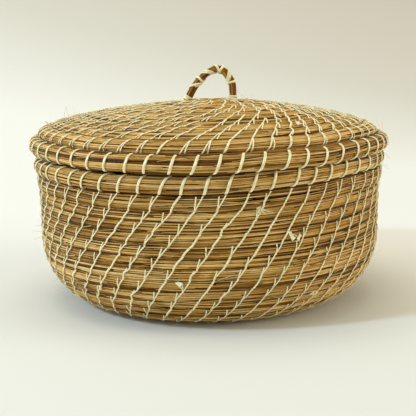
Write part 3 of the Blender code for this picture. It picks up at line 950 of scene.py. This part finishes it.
def split_stitch(bundle, start, end, pick):
    """Return the three legs of a stitch that parts into a V."""
    per_metre = bundle.per_metre(start)
    fork = pick.uniform(*(LOW_FORK if pick.random() < LOW_FORK_SHARE else HIGH_FORK))
    parting = start + (end - start) * FOOT_LEAN * (fork + 1) / 2
    behind = pick.uniform(*BEHIND_MM) * MM * per_metre * (1 - fork) / 2 + LEAST_BEHIND * per_metre
    bow = pick.gauss(0, SPLIT_BOW_MM) * MM * per_metre
    top = pick.uniform(*SHORT_HEAD)
    return [leg(bundle, 1, FOOT, fork + FORK_LAP, start, parting, (BROAD, BROAD * TAPER), 0, 3),
            leg(bundle, 1, fork, HEAD, parting, end, (THIN, THIN), bow),
            leg(bundle, 1, fork, top, parting, end - behind, (THIN, THIN * TAPER), bow)]


def closed_stitch(bundle, start, end, pick):
    """Return the one broad leg of a stitch that stays closed."""
    bow = pick.gauss(0, CLOSED_BOW_MM) * MM * bundle.per_metre(start)
    scale = BROAD * pick.uniform(*CLOSED_SCALES)
    return [leg(bundle, 1, FOOT, HEAD, start, end, (scale, scale), bow, 8, CLOSED_EASE)]


def shoulder_stitch(bundle, start, end, pick):
    """Return a stitch over a row that turns down to the edge, with a second leg in most cases."""
    low, high = [math.radians(turn) for turn in SHOULDER_DEGREES]
    ends, scale = [end], ONE_LEG
    if pick.random() < SPLIT_SHARE:
        ends.append(end - pick.uniform(*BEHIND_MM) * MM * bundle.per_metre(start))
        scale = TWO_LEGS
    return [over(bundle, low, high, start, stop, high, 0, 9, scale=scale) for stop in ends]


# %% Sew the bundles
STRIP_WIDTH, STRIP_THICK = 1.6 * MM, 0.8 * MM
RIM_LEAN_SPREAD, RIM_BOW_SPREAD = 0.7 * MM, 0.4 * MM
INSIDE_SCALE, INSIDE_SLACK_MM = 0.9, 1.5


def sew(name, bundle, stitches, body, rim_from, rim_lean, rim_turns, pick, shoulder_from=math.inf):
    """Add the stitches that show outside on a bundle, and the straight ones inside."""
    outside, inside = [], []
    for start, end in stitches:
        if start > rim_from:
            lean = pick.gauss(rim_lean, RIM_LEAN_SPREAD) * bundle.per_metre(start)
            bow = pick.gauss(0, RIM_BOW_SPREAD) * bundle.per_metre(start)
            low, level, high = [math.radians(turn) for turn in rim_turns]
            outside.append(over(bundle, low, high, start, start + lean, level, bow))
            continue
        made = split_stitch if pick.random() < SPLIT_SHARE else closed_stitch
        if start > shoulder_from:
            made = shoulder_stitch
        outside += made(bundle, start, end, pick)
        back = end - pick.uniform(0, INSIDE_SLACK_MM) * MM * bundle.per_metre(start)
        inside.append(leg(bundle, -1, -1, 1, start, back, (INSIDE_SCALE, INSIDE_SCALE), 0, 5))
    for label, strips in (("outside", outside), ("inside", inside)):
        add_strips(f"{name}_{label}", strips, bundle.frame, body, STRIP_WIDTH, STRIP_THICK)


pick = random.Random(21)
FLOOR_ROUNDS_UNSEWN = 0.6
sewing = stitch_columns(basket, -(FLOOR_ROUNDS - FLOOR_ROUNDS_UNSEWN) * ROUND, basket.last - 1,
                        lean=4.9 * MM, level=3 * ROUND, least=8.0 * MM, pick=pick, across=0.22)
floor_sewing = [pair for pair in sewing if pair[0] < 0]
wall_sewing = [pair for pair in sewing if pair[0] >= 0]
sew("floor_stitches", basket, floor_sewing, "basket", basket.last, 0, (), pick)
sew("wall_stitches", basket, wall_sewing, "basket", basket.last - ROUND, 6.5 * MM, (-86, 120, 248), pick)
lid_sewing = stitch_columns(lid, 0, lid.last - 0.5, lean=7.0 * MM, level=-ROUND, least=7.5 * MM,
                            pick=pick)
sew("lid_stitches", lid, lid_sewing, "lid", edge_start, 5.5 * MM, (-135, 90, 205), pick, shoulder_start)
print(len(wall_sewing), "stitches in the wall,", len(lid_sewing), "in the lid")

# %% [markdown]
# ## The handle
#
# The handle is a short bundle of dark grass, bent into a loop and bound with one strip. The strip
# runs round it in pairs of turns that cross the front at different slants, so it isn't an even
# spiral. A table gives where each turn crosses the front and how far it slants. More turns of
# strip hold each foot, and a knot holds it from under the lid.

# %% A bundle along an open line
class Rod:
    """A bundle along an open line, with the same questions to ask as a wound one."""

    way = 1

    def __init__(self, points, half, side, bend_radius, frame):
        self.points, self.half, self.side = points, half, side
        self.bend_radius, self.frame = bend_radius, frame
        self.lengths = lengths_along(points)
        self.last = len(points) - 1
        self.flush_until = -math.inf
        ends = [2 * points[0] - points[1], *points, 2 * points[-1] - points[-2]]
        self.ways = [(after - before).normalized() for before, after in zip(ends, ends[2:])]

    def thickness(self, index):
        """Return the half thickness, which is the same all along."""
        return self.half

    def corner(self, index):
        """Return how square the section is: it is round."""
        return 2

    def spot(self, index):
        """Return the middle, the outward and sideways directions, the way ahead and the bend."""
        low = min(max(int(math.floor(index)), 0), self.last - 1)
        share = index - low
        middle = between(self.points[low], self.points[low + 1], share)
        ahead = self.ways[low].lerp(self.ways[low + 1], min(max(share, 0), 1)).normalized()
        on = (self.side - ahead * self.side.dot(ahead)).normalized()
        return middle, ahead.cross(on), on, ahead, self.bend_radius

    def per_metre(self, index):
        """Return how many points of the line a metre of it holds."""
        return self.last / self.lengths[-1]

    def bend(self, index):
        """Return the radius in which the bundle bends."""
        return self.bend_radius


# %% The handle's line
HANDLE_RADIUS, HANDLE_BEND = 2.6 * MM, 14 * MM
HANDLE_SPAN, HANDLE_MIDDLE, HANDLE_RISE = 31.1 * MM, 1.8 * MM, 20.4 * MM
HANDLE_ROUTE_SHARES = (
    (-0.5, 0), (-0.413, 0.225), (-0.33, 0.435), (-0.249, 0.588), (-0.153, 0.745), (-0.043, 0.873),
    (0.066, 0.961), (0.175, 1), (0.265, 0.97), (0.349, 0.873), (0.42, 0.716), (0.477, 0.549),
    (0.497, 0.387), (0.5, 0.22), (0.5, 0),
)


def smooth_route(route, steps):
    """Return points on a smooth curve through a route."""
    ends = [2 * route[0] - route[1], *route, 2 * route[-1] - route[-2]]
    points = []
    for index in range(1, len(ends) - 2):
        before, here, there, after = ends[index - 1:index + 3]
        for step in range(steps):
            t = step / steps
            points.append((here * 2 + (there - before) * t
                           + (before * 2 - here * 5 + there * 4 - after) * t ** 2
                           + (here * 3 - before - there * 3 + after) * t ** 3) / 2)
    return [*points, route[-1]]


handle_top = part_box("handle_core")[1][2]
base = handle_top - SEAT - HANDLE_RISE - HANDLE_RADIUS
route = [Vector((HANDLE_MIDDLE + HANDLE_SPAN * across, 0, base + HANDLE_RISE * up))
         for across, up in HANDLE_ROUTE_SHARES]
handle = Rod(smooth_route(route, 3), HANDLE_RADIUS, Vector((0, 1, 0)), HANDLE_BEND, lid_frame)
print("handle:", round(handle.lengths[-1] / MM, 1), "mm along")

# %% The handle's stems
pick = random.Random(31)
# The inner stems are dark, painted shade between the outer stems.
HANDLE_TONES, INNER_SHADE_TONES = (2.8, 1.2), (4.3, 0.6)
POINTS_INTO_LID = 2.5
handle_ends = (-POINTS_INTO_LID, handle.last + POINTS_INTO_LID)
stems = lay_stems(handle, *handle_ends, pick, lanes(0, 340, 20), 0.45, 0.5, HANDLE_TONES, 0.12, 0.5)
stems += lay_stems(handle, *handle_ends, pick, lanes(0, 330, 30), 1.2, 0.5, INNER_SHADE_TONES)
handle_stems = add_stems("handle_stems", stems, lid_frame, "lid")
add_core("handle_middle", handle, *handle_ends, "lid", 1.2 * MM, 1)
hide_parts("handle_core")

# %% Turns of strip round a rod
STEPS_PER_TURN = 14
FRONT_TURN = -math.pi / 2
STRIP_WAVE = 0.15 * MM


def wound(rod, crossings_mm, proud=0.25 * MM):
    """Return a strip that crosses the front of a rod at each (place, slant)."""
    crossings = [(place * MM, slant * MM) for place, slant in crossings_mm]
    strip = []
    for step in range(len(crossings) * STEPS_PER_TURN):
        turns = step / STEPS_PER_TURN
        whole = min(int(turns), len(crossings) - 2)
        share = smooth(turns - whole)
        (place, slant), (next_place, next_slant) = crossings[whole:whole + 2]
        angle = FRONT_TURN - math.tau * turns
        slant = between(slant, next_slant, share)
        place = between(place, next_place, share) + slant * math.cos(angle)
        index = place * rod.per_metre(0)
        under = STRIP_WAVE * math.sin(angle * 2 + step)
        strip.append((on_section(rod, index, angle, under - proud), facing(rod, index, angle), 1))
    return strip


# %% The handle's binding
CROSSINGS_MM = ((8.2, -3.8), (9.9, -3.2), (14.0, 0.6), (20.4, -3.2), (22.0, -2.6), (28.4, -1.2),
                (30.8, 1.4), (38.6, -2.4), (40.4, -2.2), (43.4, 0.4))
binding = add_strips("handle_wrap", [wound(handle, CROSSINGS_MM)], lid_frame, "lid", 1.6 * MM,
                     0.5 * MM)
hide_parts("handle_binding")
LEFT_FOOT_MM = ((-1.8, 0.3), (-0.8, -0.2), (0.2, 0.3), (1.1, -0.3), (1.7, 0.1))
RIGHT_FOOT_MM = [(handle.lengths[-1] / MM - place, slant) for place, slant in LEFT_FOOT_MM]
for side, foot_turns in (("left", LEFT_FOOT_MM), ("right", RIGHT_FOOT_MM)):
    wrap = add_strips(f"handle_foot_wrap_{side}", [wound(handle, foot_turns, 0.3 * MM)], lid_frame,
                      "lid", 1.2 * MM, 0.55 * MM)
    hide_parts(f"handle_lashing_{side}")


# %% The knots under the lid
KNOT_LOOPS, LOOP_STEPS = 5, 24
BALL_SHARE, LOOP_SHARE, CROSSING_SHARE = 0.86, 0.9, 0.03
FIRST_TIP, TIP_STEP, FIRST_SPIN = 0.5, 0.25, 0.3
KNOT_STRIP = 1.3 * MM, 0.6 * MM


def knot_mesh(middle, radius, height):
    """Return loops of strip drawn tight over a small ball of strip."""
    size = Vector((radius, radius, height / 2))
    work = bmesh.new()
    bmesh.ops.create_uvsphere(work, u_segments=16, v_segments=10, radius=1)
    bmesh.ops.scale(work, verts=work.verts, vec=size * BALL_SHARE)
    bmesh.ops.translate(work, verts=work.verts, vec=middle)
    loops = []
    for loop in range(KNOT_LOOPS):
        tip = Matrix.Rotation(FIRST_TIP + TIP_STEP * loop, 3, "X")
        spin = Matrix.Rotation(loop * math.pi / KNOT_LOOPS + FIRST_SPIN, 3, "Z") @ tip
        reach = size * (LOOP_SHARE + CROSSING_SHARE * (loop % 2))
        strip = []
        for share in shares(LOOP_STEPS):
            turn = math.tau * share
            outward = spin @ Vector((math.cos(turn), math.sin(turn), 0))
            strip.append((middle + outward * reach, outward, 1))
        loops.append(strip)
    mesh = strips_mesh(loops, Matrix(), *KNOT_STRIP)
    work.from_mesh(mesh)
    work.to_mesh(mesh)
    work.free()
    return mesh


for side in ("left", "right"):
    low, high = [Vector(corner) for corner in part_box(f"handle_knot_{side}")]
    mesh = knot_mesh((low + high) / 2, (high.x - low.x) / 2, high.z - low.z)
    knot = add_piece(f"handle_knot_loops_{side}", mesh, [strip_pale], "lid")
    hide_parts(f"handle_knot_{side}")

# %% The knots that both coils start from
START_KNOT = 5.6 * MM, 6.4 * MM
lid_start = lid_frame @ Vector((0, 0, LID_HEIGHT - 1.2 * MM))
basket_start = Vector((0, 0, 3.9 * MM))
for body, middle in (("lid", lid_start), ("basket", basket_start)):
    mesh = knot_mesh(middle, *START_KNOT)
    add_piece(f"{body}_start_knot", mesh, [strip_pale], body)

# %% [markdown]
# ## The collar under the lid
#
# Two rounds of a thin bundle hang under the lid and drop into the mouth, so that the lid can't
# slide off. They are made like the handle, as stems along a line. Nine broad strips hang the
# collar from the lid, and narrow stitches bind its own stems.

# %% The collar's line and stems
COLLAR_RADIUS, COLLAR_ROW_RADIUS = 101.0 * MM, 2.4 * MM
COLLAR_STEP_POINTS, COLLAR_ROUNDS = 4, 2
collar_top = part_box("lid_collar")[1][2] - SEAT - COLLAR_ROW_RADIUS - COLLAR_RADIUS * math.sin(-TILT)
pitch = 2 * COLLAR_ROW_RADIUS + ROW_GAP
points = []
for index in range(COLLAR_ROUNDS * ROUND - COLLAR_STEP_POINTS + 1):
    angle = math.pi / 2 + math.tau * index / ROUND
    rounds, into = divmod(index, ROUND)
    step = max(into - (ROUND - COLLAR_STEP_POINTS), 0) / COLLAR_STEP_POINTS
    point = Vector((COLLAR_RADIUS * math.cos(angle), COLLAR_RADIUS * math.sin(angle),
                    collar_top - pitch * (rounds + step)))
    point.z += lid_rise(point)
    points.append(point)
collar = Rod(points, COLLAR_ROW_RADIUS, Vector((0, 0, 1)), COLLAR_RADIUS, lid_frame)
pick = random.Random(41)
stems = lay_stems(collar, 0, collar.last, pick, lanes(0, 340, 20), 0.45, 0.46, EVEN_TONES, 0.1)
stems += lay_stems(collar, 0, collar.last, pick, lanes(0, 320, 40), 1.2, 0.5, INNER_SHADE_TONES)
collar_stems = add_stems("collar_stems", stems, lid_frame, "lid")
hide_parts("lid_collar")

# %% The collar's ties and stitches
TIE_COUNT, TIE_STEPS, TIE_PROUD = 9, 8, 0.65 * MM
TIE_HEIGHTS = (2.4 * COLLAR_ROW_RADIUS, 1.2 * COLLAR_ROW_RADIUS)
reach = COLLAR_ROW_RADIUS + TIE_PROUD
ties = []
for number in range(TIE_COUNT):
    middle, out, on, _, _ = collar.spot(ROUND + 2 * number)
    tie = [(middle - out * reach + on * height, -out, 1) for height in TIE_HEIGHTS]
    for share in shares(TIE_STEPS):
        turn = math.pi * share
        outward = -out * math.cos(turn) - on * math.sin(turn)
        tie.append((middle + outward * reach, outward, 1))
    tie += [(middle + out * reach + on * height, out, 1) for height in reversed(TIE_HEIGHTS)]
    ties.append(tie)
FIRST_STITCH, STITCH_POINTS, STITCH_LEAN = 0.3, 0.45, 0.12
low, high = math.radians(-100), math.radians(250)
bindings = []
for number in range(int(collar.last / STITCH_POINTS)):
    start = FIRST_STITCH + STITCH_POINTS * number
    bindings.append(over(collar, low, high, start, start + STITCH_LEAN, high, 0, 12, 0.2 * MM))
tie_piece = add_strips("collar_tie_strips", ties, lid_frame, "lid", 3.0 * MM, 0.6 * MM, 8)
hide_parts(*[f"collar_tie_{number + 1:02d}" for number in range(TIE_COUNT)])
add_strips("collar_stitches", bindings, lid_frame, "lid", 1.3 * MM, 0.6 * MM)

# %% [markdown]
# ## Loose ends
#
# Strips that ran out are left as small frayed tufts, and thin stems and hairs stand off the rows.
# They are few, but a basket without them looks cast. Tufts, hairs and the two twigs grow from a
# named row and azimuth, where -90 degrees faces the viewer. Rows are counted back from the last
# one. The other stray stems grow at places drawn at random.

# %% Tufts
FIBRE_STEPS, FIBRE_BEND = 4, 0.3
TUFT_PROUD, TUFT_LIE, TUFT_FAN, TUFT_LIFT = 0.2 * MM, (-0.6, 0.9), 0.35, (0.1, 0.4)
FIBRE_LENGTHS, FIBRE_ROOT, FIBRE_TIP = (0.7, 1.1), 0.7, 0.3
FLAP_ROOT, FLAP_NECK, FLAP_END = (1.8, 2.6), 0.5, (2.2, 3.0)


def fibre(root, way, outward, length, scales, pick):
    """Return a fibre or flap that leaves a root along a way, bends a little and changes width."""
    bend = Vector((pick.gauss(0, 1), pick.gauss(0, 1), pick.gauss(0, 1))) * FIBRE_BEND
    strip = []
    for share in shares(FIBRE_STEPS):
        strip.append((root + (way + bend * share) * length * share, outward, between(*scales, share)))
    return strip


def tuft(bundle, row, azimuth, turn, length, count, pick):
    """Return a torn flap of strip and some fibres, on a row at a turn of its section in degrees."""
    index, turn = bundle.at(row, azimuth), math.radians(turn)
    root = on_section(bundle, index, turn, -TUFT_PROUD)
    _, _, on, ahead, _ = bundle.spot(index)
    outward = facing(bundle, index, turn)
    lie = pick.uniform(*TUFT_LIE) + pick.choice((0, math.pi))
    fibres = []
    for number in range(count):
        angle = lie + pick.gauss(0, TUFT_FAN)
        flat = ahead * math.cos(angle) + on * math.sin(angle)
        way = (flat + outward * pick.uniform(*TUFT_LIFT)).normalized()
        scales = (FIBRE_ROOT, FIBRE_TIP)
        if number == 0:
            scales = (pick.uniform(*FLAP_ROOT), FIBRE_TIP)
        elif number == 1:
            scales = (FLAP_NECK, pick.uniform(*FLAP_END))
        fibres.append(fibre(root, way, outward, pick.uniform(*FIBRE_LENGTHS) * length, scales, pick))
    return fibres


WALL_TUFTS = ((1, -76, -50, 5.0, 6), (2, -76, 30, 4.0, 4), (4, -66, 10, 4.5, 5), (4, -62, -10, 3.5, 3),
              (8, -100, 50, 4.0, 4), (10, -56, 20, 4.5, 6), (10, -54, -30, 3.5, 4),
              (11, -61, -10, 4.0, 4), (9, -128, 30, 2.5, 3), (3, 150, 20, 3.5, 4),
              (6, 60, 20, 4.0, 4), (8, 100, 30, 3.5, 4), (2, 20, 10, 3.5, 4))
LID_TUFTS = ((3, -54, 20, 4.0, 4), (1, 166, 30, 4.5, 6), (2, 160, 20, 4.5, 6), (1, 155, 30, 4.0, 5),
             (0, -3, 10, 3.0, 4), (5, 60, 20, 3.5, 4), (3, 110, 20, 4.0, 4))
pick = random.Random(51)
for body, bundle, places in (("basket", basket, WALL_TUFTS), ("lid", lid, LID_TUFTS)):
    fibres = []
    for row, azimuth, turn, length, count in places:
        fibres += tuft(bundle, row, azimuth, turn, length * MM, count, pick)
    add_strips(f"{body}_tufts", fibres, bundle.frame, body, 1.3 * MM, 0.25 * MM)


# %% Stray stems and hairs
STRAY_STEPS, STRAY_CURVE, STRAY_DEGREES, STRAY_SINK_MM = 5, 1.7, 55, 0.2
STRAY_TURN, STRAY_TAPER = 0.5, 0.5


def stray_stem(bundle, index, length, lift, half, tone, pick):
    """Return a thin stem that leaves a row at a low angle, with its sizes in mm."""
    turn = math.radians(pick.uniform(-STRAY_DEGREES, STRAY_DEGREES))
    way = pick.choice((-1, 1))
    points, radii = [], []
    for share in shares(STRAY_STEPS):
        here = index + way * length * MM * share * bundle.per_metre(index)
        depth = (STRAY_SINK_MM - lift * share ** STRAY_CURVE) * MM
        points.append(on_section(bundle, here, turn + STRAY_TURN * share * way, depth))
        radii.append(half * MM * (1 - STRAY_TAPER * share))
    return points, radii, tone


WALL_HAIRS = ((10, -139), (10, -134), (9, -143), (0, -4), (1, 1), (5, -178), (8, -30), (11, -120),
              (6, 176))
LID_HAIRS = ((1, 165), (2, 168), (2, 160), (1, 158), (0, 2), (9, -10), (9, -20), (8, 30))
WALL_TWIGS, LID_TWIGS = ((6, -61), (7, -58)), ()
STRAY_TONES, TWIG_TONE = (0, 0, 1, 1, 2, 4), 4
STRAY_SIZES_MM = (6, 22), (0.2, 1.6), (0.14, 0.3)
HAIR_SIZES_MM, HAIR_HALF_MM, HAIR_SPREAD_DEGREES, HAIRS_AT_A_PLACE = ((9, 20), (3, 8)), 0.12, 4, 3
TWIG_SIZES_MM = 14, 2, 0.45
pick = random.Random(61)
for body, bundle, count, hairs, twigs in (("basket", basket, 150, WALL_HAIRS, WALL_TWIGS),
                                          ("lid", lid, 90, LID_HAIRS, LID_TWIGS)):
    stems = []
    for number in range(count):
        index = pick.uniform(ROUND, bundle.last - 4)
        sizes = [pick.uniform(*span) for span in STRAY_SIZES_MM]
        stems.append(stray_stem(bundle, index, *sizes, pick.choice(STRAY_TONES), pick))
    for row, azimuth in hairs:
        for number in range(HAIRS_AT_A_PLACE):
            index = bundle.at(row, azimuth + pick.uniform(-HAIR_SPREAD_DEGREES, HAIR_SPREAD_DEGREES))
            sizes = [pick.uniform(*span) for span in HAIR_SIZES_MM]
            stems.append(stray_stem(bundle, index, *sizes, HAIR_HALF_MM, 0, pick))
    for row, azimuth in twigs:
        stems.append(stray_stem(bundle, bundle.at(row, azimuth), *TWIG_SIZES_MM, TWIG_TONE, pick))
    add_stems(f"{body}_stray_stems", stems, bundle.frame, body, 0)
